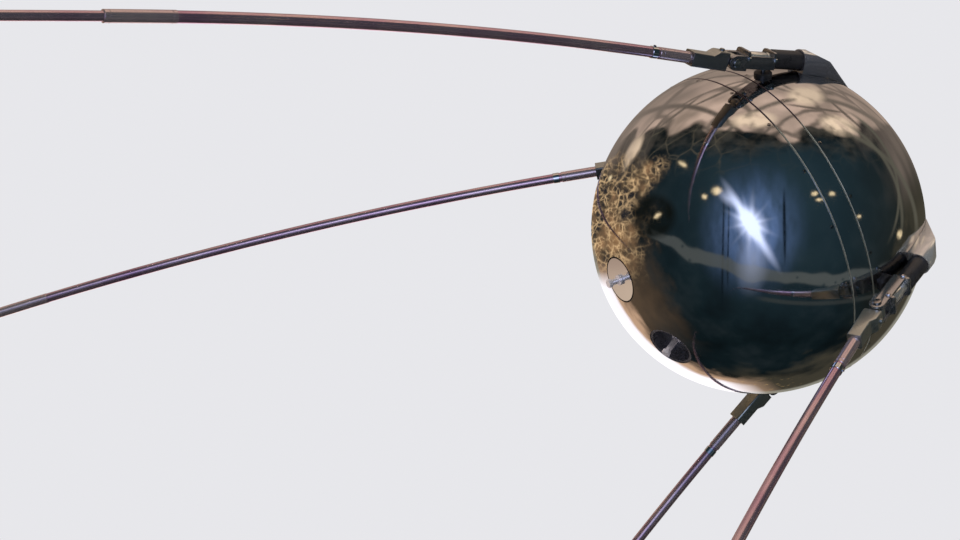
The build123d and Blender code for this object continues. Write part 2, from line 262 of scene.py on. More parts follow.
# Painted shade: the seam edges go dark high on the ball
SEAM_METAL = metal("seam_edge", (0.86, 0.85, 0.73), (0.60, 0.60, 0.50), (0.24, 0.44), metallic=0.70,
                   painted_shade=(0.15, 0.11, 0.13))
PIN = metal("contact_pin", (0.95, 0.91, 0.95), (0.84, 0.79, 0.85), (0.12, 0.22), metallic=0.5)
LID = metal("lid_mirror", (0.86, 0.85, 0.85), (0.80, 0.79, 0.80), (0.02, 0.05))
# Painted shade: near black for the groove round the lid and the screw slots
RECESS_SHADE = metal("recess_painted_shade", (0.05, 0.05, 0.06), (0.03, 0.03, 0.04), (0.3, 0.5))
CUP = metal("port_cup_dark", (0.24, 0.24, 0.27), (0.12, 0.12, 0.15), (0.22, 0.38), metallic=0.7)
BLACK = plastic("insulator_black", (0.028, 0.027, 0.030), (0.012, 0.012, 0.014), (0.22, 0.42))
RING = plastic("foot_ring_black", (0.035, 0.033, 0.036), (0.015, 0.015, 0.016), (0.3, 0.5))
BATTERY = plastic("battery_case", (0.30, 0.31, 0.33), (0.22, 0.23, 0.25), (0.5, 0.7))
PLATE = metal("carrier_plate", (0.60, 0.60, 0.61), (0.50, 0.50, 0.52), (0.3, 0.45))
# Painted shade: the dark hairline round the flush screws
HAIRLINE_SHADE = metal("screw_hairline_shade", (0.30, 0.29, 0.29), (0.18, 0.17, 0.17), (0.25, 0.45))


# Meshes

def outwards(mesh):
    """Merges the points that meet and turns every face outwards."""
    form = bmesh.new()
    form.from_mesh(mesh)
    bmesh.ops.remove_doubles(form, verts=form.verts, dist=1e-6)
    bmesh.ops.recalc_face_normals(form, faces=form.faces)
    form.to_mesh(mesh)
    form.free()
    mesh.update()


def mesh_object(name, verts, faces, material, uvs=None, smooth_angle=32.0):
    """A mesh object at the origin, its vertices in metres in the row frame."""
    mesh = bpy.data.meshes.new(name)
    mesh.from_pydata(verts, [], faces)
    if uvs:
        layer = mesh.uv_layers.new(name="UVMap")
        flat = [value for face in uvs for pair in face for value in pair]
        layer.data.foreach_set("uv", flat)
    outwards(mesh)
    mesh.polygons.foreach_set("use_smooth", [smooth_angle > 0] * len(mesh.polygons))
    if smooth_angle > 0:
        mesh.set_sharp_from_angle(angle=radians(smooth_angle))
    made = bpy.data.objects.new(name, mesh)
    bpy.context.scene.collection.objects.link(made)
    made.data.materials.append(material)
    return made


def loops_mesh(name, rings, material, smooth_angle=32.0):
    """A skin over rings of points, each ring (distance, points). A ring of one point is
    a pole."""
    verts, starts = [], []
    for _, points in rings:
        starts.append(len(verts))
        verts += [tuple(p) for p in points]
    faces, uvs = [], []
    for (s0, p0), (s1, p1), i0, i1 in zip(rings, rings[1:], starts, starts[1:]):
        count = max(len(p0), len(p1))
        if count == 1:
            continue
        for k in range(count):
            n = (k + 1) % count
            v0, v1 = k / count * 0.05, (k + 1) / count * 0.05
            if len(p0) == 1:
                faces.append((i0, i1 + k, i1 + n))
                uvs.append(((s0, v0), (s1, v0), (s1, v1)))
            elif len(p1) == 1:
                faces.append((i0 + k, i1, i0 + n))
                uvs.append(((s0, v0), (s1, v0), (s0, v1)))
            else:
                faces.append((i0 + k, i1 + k, i1 + n, i0 + n))
                uvs.append(((s0, v0), (s1, v0), (s1, v1), (s0, v1)))
    return mesh_object(name, verts, faces, material, uvs, smooth_angle)


def eased(outline, cut):
    """Cuts each inner corner of an outline by a small round."""
    made = [outline[0]]
    for a, b, c in zip(outline, outline[1:], outline[2:]):
        a, b, c = Vector(a), Vector(b), Vector(c)
        reach = min(cut, (b - a).length * 0.45, (c - b).length * 0.45)
        turn = (b - a).angle(c - b, 0)
        if reach < 1e-4 or turn < radians(12):
            made.append(tuple(b))
            continue
        start, end = b + (a - b).normalized() * reach, b + (c - b).normalized() * reach
        middle = (start + end) / 4 + b / 2
        made += [tuple(start), tuple(middle), tuple(end)]
    return made + [outline[-1]]


def lathe(name, outline, matrix, material, segments, cut=0, smooth_angle=32.0):
    """Turns an outline of (z, r), in millimetres, about the matrix's Z axis. Its inner
    corners are cut by a round of that size."""
    rings, walked, before = [], 0.0, None
    for z, r in eased(outline, cut) if cut else outline:
        walked += (Vector((z, r)) - Vector(before)).length * MM if before else 0
        before = (z, r)
        if r < 1e-6:
            points = [matrix @ Vector((0, 0, z)) * MM]
        else:
            angles = [2 * pi * k / segments for k in range(segments)]
            points = [matrix @ Vector((r * cos(a), r * sin(a), z)) * MM for a in angles]
        rings.append((walked, points))
    return loops_mesh(name, rings, material, smooth_angle)


def joined(name, parts):
    """Joins objects into the first one."""
    bpy.ops.object.select_all(action="DESELECT")
    for part in parts:
        part.select_set(True)
    bpy.context.view_layer.objects.active = parts[0]
    bpy.ops.object.join()
    parts[0].name = name
    return parts[0]


def settle(obj, body, slot, *replaced):
    """Puts a piece on its body and hides the nodes it stands for. Its material slot is not used."""
    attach(obj, body)
    if replaced:
        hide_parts(*replaced)
    return obj


def applied(obj):
    """Makes an object's modifiers final."""
    graph = bpy.context.evaluated_depsgraph_get()
    mesh = bpy.data.meshes.new_from_object(obj.evaluated_get(graph))
    obj.modifiers.clear()
    obj.data = mesh
    return obj


def eased_copy(name, material, body, width):
    """A CAD node's own form with eased edges, which stands for the node."""
    source = nodes[name]
    mesh = source.data.copy()
    made = bpy.data.objects.new(name + "_finished", mesh)
    bpy.context.scene.collection.objects.link(made)
    form = bmesh.new()
    form.from_mesh(mesh)
    bmesh.ops.remove_doubles(form, verts=form.verts, dist=1e-6)
    bmesh.ops.dissolve_limit(form, angle_limit=radians(0.5), verts=form.verts, edges=form.edges)
    form.to_mesh(mesh)
    form.free()
    mesh.materials.clear()
    mesh.materials.append(material)
    easing = made.modifiers.new("ease", "BEVEL")
    easing.width, easing.segments = width * MM, 2
    easing.limit_method, easing.angle_limit = "ANGLE", radians(30)
    easing.harden_normals = False
    applied(made)
    made.data.polygons.foreach_set("use_smooth", [True] * len(made.data.polygons))
    made.data.set_sharp_from_angle(angle=radians(28))
    slot = next(p["material_slot"] for p in frame["record"]["subparts"] if p["node"] == name)
    return settle(made, body, slot, name)


# Ball

AXIS = ATTITUDE @ Matrix.Rotation(radians(90), 4, "Y")
ROUND = 288


def arc(radius, x0, x1, steps):
    """An outline along a circle, from one place on the axis to another."""
    a0, a1 = acos(x0 / radius), acos(x1 / radius)
    angles = [a0 + (a1 - a0) * k / steps for k in range(steps + 1)]
    return [(radius * cos(a), max(radius * sin(a), 0.0)) for a in angles]


def dull_edges(obj):
    """Gives the eased edges beside the seams their own finish."""
    to_axis = AXIS.inverted()
    obj.data.materials.append(SEAM_METAL)
    for polygon in obj.data.polygons:
        place = to_axis @ polygon.center / MM
        off = min(abs(abs(place.z) - edge) for edge in (BELT / 2, BELT / 2 + SEAM))
        if off < SEAM_EASE and BALL - 1.6 * SEAM_EASE < place.length < BALL - 0.1:
            polygon.material_index = 1


def true_normals(obj):
    """Gives the ball's outer face the exact normals of a sphere, so that it mirrors
    without facets."""
    mesh = obj.data
    normals = [tuple(n.vector) for n in mesh.corner_normals]
    for polygon in mesh.polygons:
        corners = [mesh.vertices[mesh.loops[k].vertex_index].co for k in polygon.loop_indices]
        if all(abs(c.length - BALL * MM) < 2e-6 for c in corners):
            for k, c in zip(polygon.loop_indices, corners):
                normals[k] = tuple(c.normalized())
    mesh.normals_split_custom_set(normals)


def half_shell(name, end):
    """The skin of one half of the ball, from its seam to its pole at end."""
    side = 1 if end > 0 else -1
    start = side * (BELT / 2 + SEAM)
    lip = side * SEAM_EASE
    inner_end = side * (BALL - WALL)
    outline = [(start, sqrt((BALL - WALL)**2 - start**2)),
               (start, sqrt(BALL**2 - start**2) - SEAM_EASE), *arc(BALL, start + lip, end, 72)]
    made = lathe(name + "_skin", outline, AXIS, SHELL, ROUND)
    inner = arc(BALL - WALL, inner_end, start, 24)
    inside = lathe(name + "_inside", inner, AXIS, SHELL, ROUND)
    made = joined(name + "_skin", [made, inside])
    outwards(made.data)
    return made


front = half_shell("front_shell", BALL)
dull_edges(front)
true_normals(front)
settle(front, "hull", "shell", "front_half_shell")

rear = half_shell("rear_shell", -BALL)
dull_edges(rear)
for port, (tilt, turn) in PORTS.items():
    # A round hole with a chamfered edge
    flare = [(-20, 0), (-20, PORT_HOLE), (-1.4, PORT_HOLE), (3, PORT_HOLE + 2.2), (3, 0)]
    cutter = lathe("cutter_" + port, flare, port_frame(tilt, turn), SHELL, segments=160)
    hole = rear.modifiers.new("hole", "BOOLEAN")
    hole.operation, hole.solver, hole.object = "DIFFERENCE", "EXACT", cutter
    applied(rear)
    bpy.data.objects.remove(cutter)
rear.data.polygons.foreach_set("use_smooth", [True] * len(rear.data.polygons))
rear.data.set_sharp_from_angle(angle=radians(25))
true_normals(rear)
settle(rear, "hull", "shell", "rear_half_shell")

half, ledge = BELT / 2, BELT / 2 + LEDGE
ledge_radius = BALL - WALL - GAP
lip = SEAM_EASE
belt_outline = [(-ledge, BELT_INNER)] + arc(ledge_radius, -ledge, -half, 6)
belt_outline += [(-half, sqrt(BALL**2 - half**2) - lip)] + arc(BALL, -half + lip, half - lip, 16)
belt_outline += [(half, sqrt(BALL**2 - half**2) - lip)] + arc(ledge_radius, half, ledge, 6)
belt_outline += [(ledge, BELT_INNER), (-ledge, BELT_INNER)]
belt = lathe("belt_skin", belt_outline, AXIS, BELT_METAL, ROUND)
dull_edges(belt)
true_normals(belt)
settle(belt, "hull", "belt_ring", "belt_ring")


# Flush screws

SCREW_RADIUS = 2.9


def flush_screw(name, matrix):
    """A countersunk screw, its slotted head flush with the ball, in a dark hairline. The hairline
    and the slot are painted shade: a dark ring and a near-black bar.
    """
    radius = SCREW_RADIUS
    rim_outline = [(-0.5, 0), (-0.5, radius + 0.6), (0.12, radius + 0.5), (0.1, radius)]
    head_outline = [(-0.5, radius + 0.1), (0.1, radius - 0.1), (0.35, radius * 0.6), (0.4, 0)]
    rim = lathe(name + "_rim", rim_outline, matrix, HAIRLINE_SHADE, 32)
    head = lathe(name + "_head", head_outline, matrix, STEEL, 32)
    long, wide = radius * 0.82, 0.55
    corners = [(-long, -wide), (long, -wide), (long, wide), (-long, wide)]
    verts = [matrix @ Vector((x, y, z)) * MM for z in (0.1, 0.44) for x, y in corners]
    faces = [(4, 5, 6, 7), (0, 1, 5, 4), (1, 2, 6, 5), (2, 3, 7, 6), (3, 0, 4, 7)]
    slot = mesh_object(name + "_slot", verts, faces, RECESS_SHADE, smooth_angle=0)
    return joined(name, [head, rim, slot])


# Each row goes into a ledge of the belt: its place along the axis and its first screw.
# Every slot is turned its own way.
SCREW_ROWS = ((-27.0, -27.8), (27.0, -41.5))
SCREWS = 18
for row, (x, first) in enumerate(SCREW_ROWS):
    for k in range(SCREWS):
        azimuth = first + 360 * k / SCREWS
        place = ball_frame(x, azimuth) @ Matrix.Rotation(radians(37 * k + 20), 4, "Z")
        settle(flush_screw(f"flush_screw_{row}_{k}", place), "hull", "hinge_pin")


# Ports

CAD_MATERIALS = {
    "rear_port_lid": LID,
    "rear_port_pin": PIN,
    # The seat, near black, is painted shade in the groove round the lid
    "rear_port_seat": RECESS_SHADE,
    "side_port_cup": CUP,
    "side_port_pin": PIN,
    "battery_block": BATTERY,
    "battery_carrier": PLATE,
    "feed_insulators": RING,
}
for name, material in CAD_MATERIALS.items():
    mesh = nodes[name].data
    mesh.materials.clear()
    mesh.materials.append(material)


# Antenna mounts

def cross_bolt(name, matrix, radius, height, washer=True):
    """A hexagonal bolt head on a washer, standing on the matrix's XY plane."""
    parts = []
    if washer:
        outline = [(-0.2, 0), (-0.2, radius * 1.5), (0.9, radius * 1.5), (0.9, 0)]
        parts.append(lathe(name + "_washer", outline, matrix, STEEL, 40, cut=0.25))
    base = 0.9 if washer else -0.2
    outline = [(base, 0), (base, radius), (height * 0.75, radius), (height, radius * 0.8),
               (height, 0)]
    parts.append(lathe(name + "_head", outline, matrix, CHROME, 6, smooth_angle=0))
    return joined(name, parts)


# Material and edge width of each fixed piece of a mount
FIXED_PIECES = {
    "shoe_": (SHOE, 0.8),
    "bracket_": (BRACKET, 0.7),
    "insulator_": (BLACK, 0.5),
    "spring_barrel_": (BARREL, 0.6),
    "hinge_pin_": (STEEL, 0.3),
    "feed_post_": (STEEL, 0.3),
}
# Radius and height of each bolt head
CHEEK_BOLT, UNDER_STUD, ROOT_SCREW = (3.4, 3.6), (4.2, 6.5), (2.6, 2.4)

for name, turn, tubes in ANTENNAS:
    mount = mount_frame(turn)
    for piece, (material, width) in FIXED_PIECES.items():
        eased_copy(piece + name, material, "hull", width)
    eased_copy("root_block_" + name, BLOCK, "whip_arm_" + name, 0.8)
    for side in (-1, 1):
        turned = Matrix.Rotation(radians(-90 * side), 4, "X")
        for k, x in enumerate(CHEEKS):
            place = mount @ Matrix.Translation((x, side * BRACKET_HALF, 3.0)) @ turned
            tag = f"cheek_bolt_{name}_{'left' if side > 0 else 'right'}_{k}"
            settle(cross_bolt(tag, place, *CHEEK_BOLT), "hull", "hinge_pin")
    under = mount @ Matrix.Translation((CHEEKS[1] - 2, 0, BRACKET_LOW))
    under = under @ Matrix.Rotation(pi, 4, "X")
    settle(cross_bolt("under_stud_" + name, under, *UNDER_STUD), "hull", "hinge_pin")


# Whips

WHIP_ROUND, STATION_STEP = 40, 20.0


def whip_path(tubes):
    """A function from the distance along a whip to its point and heading, in the plane
    that it bends in, by the arcs of the CAD tubes."""
    total = sum(tubes)
    arcs, place, angle, reached = [], Vector((0, 0, 0)), 0.0, 0.0

    def bent(distance):
        return total / (3 * ROOT_BEND) * (1 - (1 - distance / total)**3)

    for length in tubes:
        turn = bent(reached + length) - bent(reached)
        bend = length / turn
        centre = place + Vector((-sin(angle), cos(angle), 0)) * bend
        arcs.append((reached, length, angle, bend, centre))
        angle, reached = angle + turn, reached + length
        place = centre + Vector((sin(angle), -cos(angle), 0)) * bend

    def at(distance):
        start, length, a0, bend, centre = next(
            (a for a in arcs if distance < a[0] + a[1]), arcs[-1])
        run = min(distance - start, length)
        a = a0 + run / bend
        point = centre + Vector((sin(a), -cos(a), 0)) * bend
        heading = Vector((cos(a), sin(a), 0))
        return point + heading * (distance - start - run), heading

    return at


def swept(name, at, stations, matrix, material):
    """A round skin along a whip's path through stations of (distance, radius)."""
    rings = []
    for distance, radius in stations:
        point, heading = at(distance)
        side, up = Vector((0, 0, 1)), Vector((-heading.y, heading.x, 0))
        if radius < 1e-6:
            points = [matrix @ point * MM]
        else:
            points = []
            for k in range(WHIP_ROUND):
                a = 2 * pi * k / WHIP_ROUND
                points.append(matrix @ (point + (side * cos(a) + up * sin(a)) * radius) * MM)
        rings.append((distance * MM, points))
    return loops_mesh(name, rings, material)


def runs(start, end, radius):
    """Even stations of one radius."""
    count = max(1, round((end - start) / STATION_STEP))
    return [(start + (end - start) * k / count, radius) for k in range(count + 1)]


def collar(start, end, radius, inner):
    """Stations of a sleeve with eased ends and a fine groove near each end."""
    ease = 0.8
    groove = [(7, radius), (7.4, radius - 0.45), (8.2, radius - 0.45), (8.6, radius)]
    return [
        (start, inner - 0.2), (start, radius - ease), (start + ease, radius),
        *[(start + off, r) for off, r in groove],
        *runs(start + 9, end - 9, radius),
        *[(end - off, r) for off, r in reversed(groove)],
        (end - ease, radius), (end, radius - ease), (end, inner - 0.2),
    ]


def ringed(start, end, radius, inner):
    """Stations of a short ring with eased ends."""
    ease = 0.6
    return [(start, inner), (start, radius - ease), (start + ease, radius),
            (end - ease, radius), (end, radius - ease), (end, inner)]


ROOT_SLEEVE, ROOT_SLEEVE_RADIUS = 66.0, 10.0
LUG_START, LUG_END, LUG_RADIUS = 70.0, 82.0, 10.0

for name, turn, tubes in ANTENNAS:
    body = "whip_arm_" + name
    hinge = whip_frame(turn)
    ahead = (hinge.to_3x3() @ Vector((1, 0, 0))).normalized()
    root = hinge @ Vector((BLOCK_END - SOCKET + GAP, 0, -BLOCK_DROP))
    plane = frame_of(ahead, ahead.cross(Vector((0, 0, -1))), root)
    at = whip_path(tubes)
    ends = [sum(tubes[:k + 1]) for k in range(3)]
    starts = [0.0] + ends[:2]
    half = SLEEVE / 2
    tube_parts = []
    for k, (start, end, radius) in enumerate(zip(starts, ends, RADII)):
        stations = [(start, 0), *runs(start, end, radius), (end, 0)]
        tube_parts.append(swept(f"tube_{k}", at, stations, plane, WHIP))
    for k, (end, radius) in enumerate(zip(ends[:2], RADII)):
        stations = collar(end - half, end + half, radius + SLEEVE_WALL, RADII[k + 1])
        tube_parts.append(swept(f"joint_{k}", at, stations, plane, SLEEVE_METAL))
    total, r = ends[2], TIP_RADIUS
    last = total + TIP_LENGTH
    tip = [(total - 1, 0), (total, r - 1), (total + 0.8, r), (last - 3, r),
           (last - 1.2, r - 0.8), (last - 0.2, r - 2.6), (last, 0)]
    tube_parts.append(swept("tip", at, tip, plane, SLEEVE_METAL))
    settle(joined("whip_" + name + "_finished", tube_parts), body, "whip_tube", "whip_" + name)
    block_face = SOCKET - GAP
    stations = collar(block_face - 4, block_face + ROOT_SLEEVE, ROOT_SLEEVE_RADIUS, RADII[0])
    sleeve = swept("root_sleeve", at, stations, plane, SLEEVE_METAL)
    stations = ringed(block_face + LUG_START, block_face + LUG_END, LUG_RADIUS, RADII[0] - 0.2)
    lug = swept("root_lug", at, stations, plane, CHROME)
    point, heading = at(block_face + (LUG_START + LUG_END) / 2)
    outward = plane.inverted().to_3x3() @ hinge.to_3x3() @ Vector((0, 0, 1))
    seat = plane @ frame_of(heading, outward - heading * outward.dot(heading), point)
    seat = seat @ Matrix.Translation((0, 0, LUG_RADIUS - 0.4))
    screw = cross_bolt("root_screw", seat, *ROOT_SCREW, washer=False)
    settle(joined("root_sleeve_" + name, [sleeve, lug, screw]), body, "whip_tube")


# Studio

# The floor lies just under the tip of the lowest whip and has a light of its own
FLOOR_DROP, FLOOR_LIGHT = 0.06, 0.28
FLOOR = cad_low[2] - FLOOR_DROP
ROOM = 30.0
PICTURE_WIDTH, SENSOR = 960, 36.0
# The ball's own axes and its place, in the camera's axes, and the focal length in
# pixels: measured from the ball, seams and whips
AXIS_SEEN = Vector((-0.84903, -0.40153, 0.34340))
UP_RIGHT = Vector((-0.17324, 0.82559, 0.53702))
UP_LEFT = Vector((-0.49913, 0.39645, -0.77052))
BALL_SEEN = Vector((485.645, 73.013, -3465.374))
FOCAL = 1974.43
seen_x = -AXIS_SEEN
seen_y = ((UP_LEFT - UP_RIGHT) / sqrt(2)).normalized()
seen_z = ((UP_LEFT + UP_RIGHT) / sqrt(2)).normalized()
seen = Matrix((seen_x, seen_y, seen_z)).transposed()
turned = ATTITUDE.to_3x3() @ seen.inverted()
facing = turned.to_quaternion().to_matrix()
camera_data = bpy.data.cameras.new("camera")
camera_data.sensor_width = SENSOR
camera_data.lens = FOCAL / PICTURE_WIDTH * SENSOR
camera_data.clip_end = 200.0
camera = bpy.data.objects.new("camera", camera_data)
bpy.context.scene.collection.objects.link(camera)
camera.matrix_world = Matrix.Translation(turned @ (-BALL_SEEN) * MM) @ facing.to_4x4()
bpy.context.scene.camera = camera

to_camera = camera.matrix_world.translation.normalized()
level = Vector((to_camera.x, to_camera.y, 0)).normalized()
left_hand = facing @ Vector((-1, 0, 0))

PALE = (0.80, 0.80, 0.83)
FLOOR_TONES = [(0.3, (0.78, 0.76, 0.77)), (0.7, (0.82, 0.80, 0.81))]
floor_material, tree, shader = new_material("floor_pale", (0.80, 0.78, 0.79), 0.0, 0.7)
floor_place = node(tree, "ShaderNodeTexCoord").outputs["Object"]
floor_tone = tint(tree, noise(tree, floor_place, 0.6, 3.0), FLOOR_TONES)
tree.links.new(floor_tone, shader.inputs["Base Color"])
shader.inputs["Specular IOR Level"].default_value = 0.0
# Only the camera sees its light, so that the lamps stay at a plain level
shader.inputs["Emission Color"].default_value = (*PALE, 1)
to_eye = node(tree, "ShaderNodeLightPath").outputs["Is Camera Ray"]
tree.links.new(math(tree, "MULTIPLY", to_eye, FLOOR_LIGHT), shader.inputs["Emission Strength"])
size = ROOM * 1.5
corners = [(-size, -size, FLOOR), (size, -size, FLOOR), (size, size, FLOOR), (-size, size, FLOOR)]
floor = mesh_object("floor", corners, [(0, 1, 2, 3)], floor_material, smooth_angle=0)

# A dark hall with a pale ceiling, seen only in the metal. Its places are given as the
# ball's disc shows them from the photograph's side: u to the right and v up, -1 to 1.
room_material = bpy.data.materials.new("hall")
room_material.use_nodes = True
tree = room_material.node_tree
tree.nodes.clear()
output = node(tree, "ShaderNodeOutputMaterial")
glow = node(tree, "ShaderNodeEmission", Strength=1.0)
unit_node = node(tree, "ShaderNodeVectorMath", operation="NORMALIZE")
tree.links.new(node(tree, "ShaderNodeTexCoord").outputs["Object"], unit_node.inputs[0])
unit = unit_node.outputs["Vector"]
disc_right = -left_hand
disc_right = (disc_right - to_camera * disc_right.dot(to_camera)).normalized()
disc_up = to_camera.cross(disc_right)


def towards(direction):
    """How much a place in the hall lies in a direction: 1 straight that way."""
    made = node(tree, "ShaderNodeVectorMath", operation="DOT_PRODUCT")
    tree.links.new(unit, made.inputs[0])
    made.inputs[1].default_value = direction
    return made.outputs["Value"]


def mixed(factor, a, b):
    """Colour a where the factor is 0, b where it is 1."""
    made = node(tree, "ShaderNodeMix", data_type="RGBA")
    tree.links.new(factor, made.inputs["Factor"])
    for socket, value in zip([s for s in made.inputs if s.type == "RGBA"], (a, b)):
        if isinstance(value, tuple):
            socket.default_value = (*value, 1)
        else:
            tree.links.new(value, socket)
    return next(s for s in made.outputs if s.type == "RGBA")


def plus(a, b):
    return math(tree, "ADD", a, b)


def scaled(a, factor, more):
    """a times factor, plus more."""
    return math(tree, "MULTIPLY_ADD", a, factor, more)


def both(*masks):
    """Where all the masks are."""
    made = masks[0]
    for mask in masks[1:]:
        made = math(tree, "MULTIPLY", made, mask)
    return made


def length_of(a, b):
    """The length of a vector with these two parts."""
    return math(tree, "SQRT", plus(both(a, a), both(b, b)))


def rising(value, low, high, top=1.0):
    """A mask that rises from 0 to top as the value goes from low to high."""
    return spread(tree, value, low, high, 0, top)


def falling(value, low, high, top=1.0, bottom=0.0):
    """A mask that falls from top to bottom as the value goes from low to high."""
    return spread(tree, value, low, high, top, bottom)


# A mirror ball shows a direction at its disc's place by this share of its sides
shrink = math(tree, "MAXIMUM", scaled(towards(to_camera), 2.0, 2.0), 1e-4)
shrink = math(tree, "POWER", shrink, -0.5)
u = both(towards(disc_right), shrink)
v = both(towards(disc_up), shrink)
out_from = length_of(u, v)


def away(at_u, at_v, turn=0.0, slim=1.0):
    """The distance from a place on the disc, slim times as long across a direction."""
    du, dv = math(tree, "SUBTRACT", u, at_u), math(tree, "SUBTRACT", v, at_v)
    c, s = cos(radians(turn)), sin(radians(turn))
    along = scaled(dv, s, math(tree, "MULTIPLY", du, c))
    across = scaled(dv, c * slim, math(tree, "MULTIPLY", du, -s * slim))
    return length_of(along, across)


def spot(at_u, at_v, radius, soft=1.0, turn=0.0, slim=1.0, fall=1.0):
    """A round or slim mask about a place: 1 inside, 0 outside, soft between."""
    mask = falling(away(at_u, at_v, turn, slim), radius * (1 - soft), radius)
    return math(tree, "POWER", mask, fall) if fall != 1 else mask


def halo(at_u, at_v, radius, width):
    """A thin ring about a place."""
    off = math(tree, "ABSOLUTE", math(tree, "SUBTRACT", away(at_u, at_v), radius))
    return falling(off, width * 0.3, width)


def swing(scale, detail, reach):
    """A wandering offset, up to about a quarter of reach either way."""
    centred = math(tree, "SUBTRACT", noise(tree, unit, scale, detail), 0.5)
    return math(tree, "MULTIPLY", centred, reach)


def cells(scale, place, feature="DISTANCE_TO_EDGE", output="Distance"):
    """A pattern of cells: how far a place is from their edges, or F1 from their middles."""
    made = node(tree, "ShaderNodeTexVoronoi", feature=feature, Scale=scale)
    tree.links.new(place, made.inputs["Vector"])
    return made.outputs[output]


def strayed(place, scale, reach):
    """A place that wanders a little off its grid."""
    wander = node(tree, "ShaderNodeTexNoise", Scale=scale, Detail=3.0)
    tree.links.new(place, wander.inputs["Vector"])
    made = node(tree, "ShaderNodeVectorMath", operation="MULTIPLY_ADD")
    tree.links.new(wander.outputs["Color"], made.inputs[0])
    made.inputs[1].default_value = (reach, reach, reach)
    tree.links.new(place, made.inputs[2])
    return made.outputs["Vector"]


disc_node = node(tree, "ShaderNodeCombineXYZ")
tree.links.new(u, disc_node.inputs["X"])
tree.links.new(v, disc_node.inputs["Y"])
disc = disc_node.outputs["Vector"]
rough, rolling = swing(5.0, 5.0, 0.30), swing(2.4, 1.5, 0.36)
rugged_v, rolling_v = plus(v, rough), plus(v, rolling)
bent, bent_disc = strayed(unit, 2.4, 0.17), strayed(disc, 6.0, 0.06)

# Dark walls with a blue haze, thin posts and a pale walkway
WALL_TONES = [
    (0.30, (0.003, 0.005, 0.006)), (0.52, (0.006, 0.013, 0.016)), (0.72, (0.018, 0.027, 0.031)),
]
POST = (0.004, 0.008, 0.012)
# Place, reach and slimness of each post
POSTS = ((0.157, 0.02, 0.24, 26.0), (-0.19, -0.12, 0.36, 60.0), (-0.16, -0.08, 0.30, 60.0))

painted = tint(tree, noise(tree, unit, 2.6, 6.0), WALL_TONES)
painted = mixed(rising(u, 0.45, 0.95, 0.75), painted, (0.024, 0.025, 0.018))
painted = mixed(spot(0.10, 0.16, 0.80), painted, (0.024, 0.050, 0.066))
streaks = spread(tree, noise(tree, disc, 15.0, 3.0, (1, 0.35, 1)), 0.36, 0.62, 0.40, 1)
haze = both(spot(-0.02, 0.00, 0.43, 1.0, 80, 1.25, 1.7), streaks)
painted = mixed(haze, painted, (0.22, 0.36, 0.74))
for at_u, at_v, reach, slim in POSTS:
    painted = mixed(spot(at_u, at_v, reach, 0.3, 90, slim), painted, POST)
sag = math(tree, "SUBTRACT", u, 0.35)
sag = scaled(both(sag, sag), -0.30, 0.29)
walkway = math(tree, "ABSOLUTE", plus(sag, scaled(rolling, 0.35, v)))
walkway = both(falling(walkway, 0.030, 0.042, 0.8), rising(u, -0.80, -0.62), falling(u, 0.66, 0.80),
               spread(tree, cells(9.0, unit, "F1"), 0.14, 0.19, 0.35, 1))
painted = mixed(walkway, painted, (0.100, 0.112, 0.108))
lower_walkway = math(tree, "ABSOLUTE", plus(math(tree, "ADD", sag, 0.13), v))
lower_walkway = both(falling(lower_walkway, 0.008, 0.014, 0.5), rising(u, -0.02, 0.05))
painted = mixed(lower_walkway, painted, (0.06, 0.066, 0.062))

# The ceiling: pale panels between beams, with a lattice under its edge
HIGH_WALL_TONES = [(0.40, (0.006, 0.009, 0.010)), (0.62, (0.060, 0.056, 0.046))]
PANEL_TONES = [(0.15, (0.26, 0.20, 0.155)), (0.50, (0.44, 0.33, 0.26)), (0.85, (0.70, 0.52, 0.41))]
BEAM = (0.13, 0.105, 0.085)
# Place, reach, direction and slimness of each
STRAIGHT_BEAMS = (
    (-0.464, 0.68, 0.21, 37, 26), (-0.66, 0.52, 0.20, 48, 22), (-0.20, 0.80, 0.26, 24, 30),
    (0.34, 0.70, 0.22, -8, 24), (0.52, 0.66, 0.20, -42, 22), (0.12, 0.86, 0.24, -30, 30),
)
BRIGHT_PANELS = (
    (-0.02, 0.63, 0.15, 4, 2.6), (0.47, 0.60, 0.13, -18, 2.0), (-0.73, 0.46, 0.14, 62, 3.4),
    (0.28, 0.78, 0.13, -8, 1.8),
)

high_walls = tint(tree, noise(tree, unit, 7.0, 6.0, (1, 1, 2.2)), HIGH_WALL_TONES)
painted = mixed(rising(rugged_v, 0.40, 0.54), painted, high_walls)
lattice = both(falling(cells(4.4, bent), 0.008, 0.03, 0.8), rising(v, 0.30, 0.42),
               falling(u, -0.30, 0.0, 1, 0.15))
painted = mixed(lattice, painted, (0.12, 0.105, 0.075))
panels = tint(tree, cells(2.3, bent, "F1", "Color"), PANEL_TONES)
panels = mixed(rising(noise(tree, unit, 3.6, 2.0), 0.36, 0.66, 0.7), panels, (0.86, 0.63, 0.50))
panels = mixed(falling(cells(2.3, bent), 0.02, 0.07, 0.85), panels, BEAM)
for at_u, at_v, reach, turn, slim in STRAIGHT_BEAMS:
    panels = mixed(spot(at_u, at_v, reach, 0.4, turn, slim), panels, (0.15, 0.12, 0.095))
panels = mixed(halo(-0.479, 0.196, 0.529, 0.022), panels, BEAM)
panels = mixed(halo(0.30, 0.10, 0.66, 0.018), panels, (0.17, 0.14, 0.11))
painted = mixed(rising(rolling_v, 0.56, 0.59), painted, panels)
for at_u, at_v, reach, turn, slim in BRIGHT_PANELS:
    uneven = spread(tree, noise(tree, unit, 8.0, 3.0), 0.34, 0.52, 0.3, 1)
    mask = both(spot(at_u, at_v, reach, 0.45, turn, slim), uneven)
    painted = mixed(mask, painted, (1.08, 0.84, 0.60))
veil = both(rising(plus(out_from, rolling), 0.78, 1.0, 0.92), rising(rolling_v, 0.12, 0.46))
painted = mixed(veil, painted, (0.235, 0.188, 0.155))

